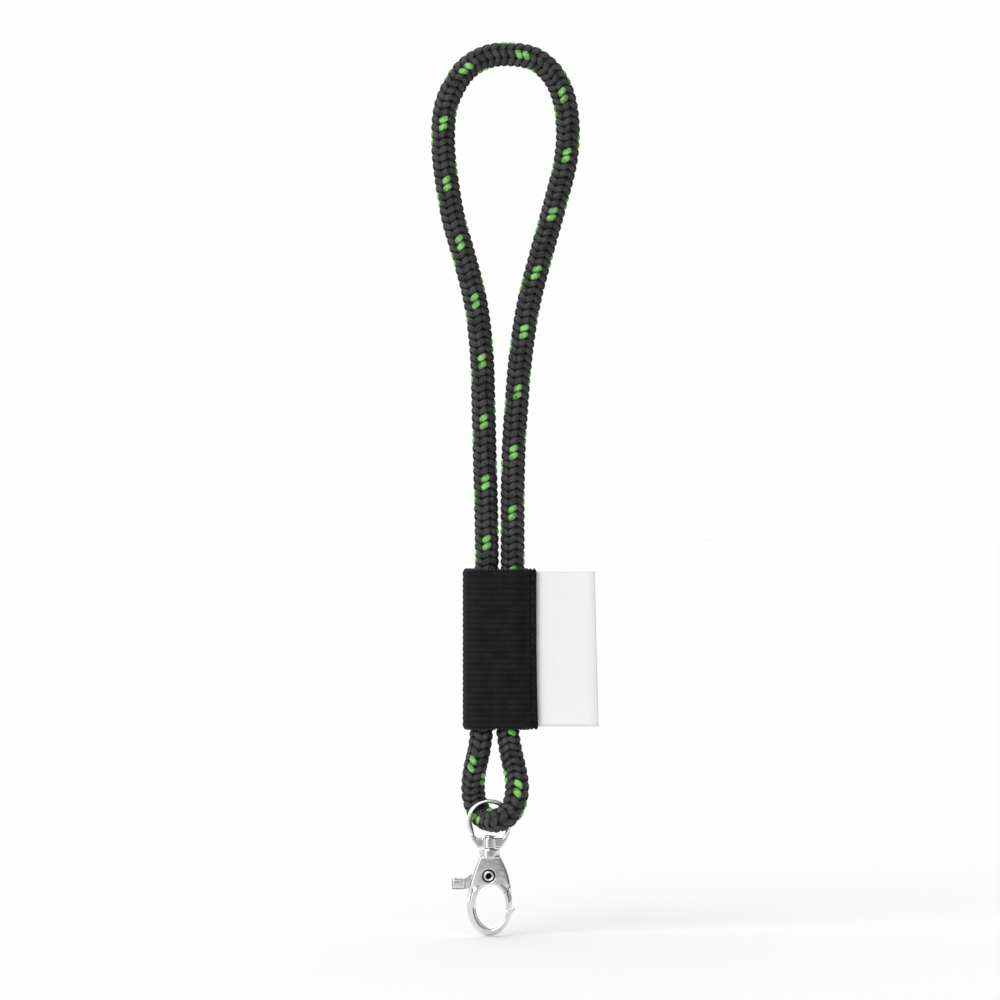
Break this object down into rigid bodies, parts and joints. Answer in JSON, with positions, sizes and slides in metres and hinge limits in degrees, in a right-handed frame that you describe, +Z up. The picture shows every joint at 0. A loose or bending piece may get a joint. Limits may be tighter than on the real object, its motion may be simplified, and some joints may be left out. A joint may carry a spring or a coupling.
{
  "type": "key lanyard",
  "caption": "Wrist lanyard of round braided cord: a hand loop and a short lower loop joined in a ribbed webbing sleeve with a blank satin label, and a swivel trigger clasp",
  "frame": {"origin": "inner top of the hand loop, the point that the lanyard hangs from", "axes": "+Z up along the hanging lanyard, +X to the right towards the label, -Y towards the front"},
  "size_m": [0.0471, 0.0166, 0.2536],
  "materials": {
    "cord_sheath": "braided polyester, matt, with two bright green marker yarns",
    "cord_core": "parallel yarns, matt",
    "joint_tape": "woven tape, matt",
    "webbing": "ribbed webbing, matt",
    "label_satin": "satin ribbon, soft sheen",
    "thread": "spun polyester sewing thread",
    "plated_metal": "polished nickel plate",
    "spring_steel": "drawn spring wire"
  },
  "bodies": {
    "root": {"hand_loop_sheath": "cord_sheath", "hand_loop_core": "cord_core", "joint_wrap_left": "joint_tape", "joint_wrap_right": "joint_tape", "sleeve": "webbing", "label_tab": "label_satin", "seam_thread_front": "thread", "seam_thread_back": "thread"},
    "label": {"label_flap": "label_satin"},
    "loop": {"lower_loop_sheath": "cord_sheath", "lower_loop_core": "cord_core"},
    "eye": {"swivel_eye": "plated_metal"},
    "hook": {"swivel_rivet": "plated_metal", "hook_body": "plated_metal", "gate_rivet": "plated_metal", "gate_spring": "spring_steel"},
    "gate": {"gate": "plated_metal"}
  },
  "joints": [
    {"name": "label_flex", "type": "hinge", "parent": "root", "child": "label", "pos_m": [0.0083, 0, -0.166], "axis": [0, 0, 1], "range_deg": [-75, 75], "stiffness_Nm_per_rad": 0.0004},
    {"name": "loop_bend", "type": "hinge", "parent": "root", "child": "loop", "pos_m": [-0.0038, 0, -0.1895], "axis": [1, 0, 0], "range_deg": [-40, 40], "stiffness_Nm_per_rad": 0.003, "deforming": ["lower_loop_sheath", "lower_loop_core"]},
    {"name": "eye_swing", "type": "hinge", "parent": "loop", "child": "eye", "pos_m": [-0.0053, 0, -0.2149], "axis": [0, 1, 0], "range_deg": [-50, 70]},
    {"name": "hook_swivel", "type": "hinge", "parent": "eye", "child": "hook", "pos_m": [-0.0053, 0, -0.223], "axis": [0, 0, 1], "continuous": true},
    {"name": "gate_hinge", "type": "hinge", "parent": "hook", "child": "gate", "pos_m": [-0.0055, 0, -0.2307], "axis": [0, 1, 0], "range_deg": [0, 25], "stiffness_Nm_per_rad": 0.03, "springref_deg": -14.32, "deforming": ["gate_spring"]}
  ]
}
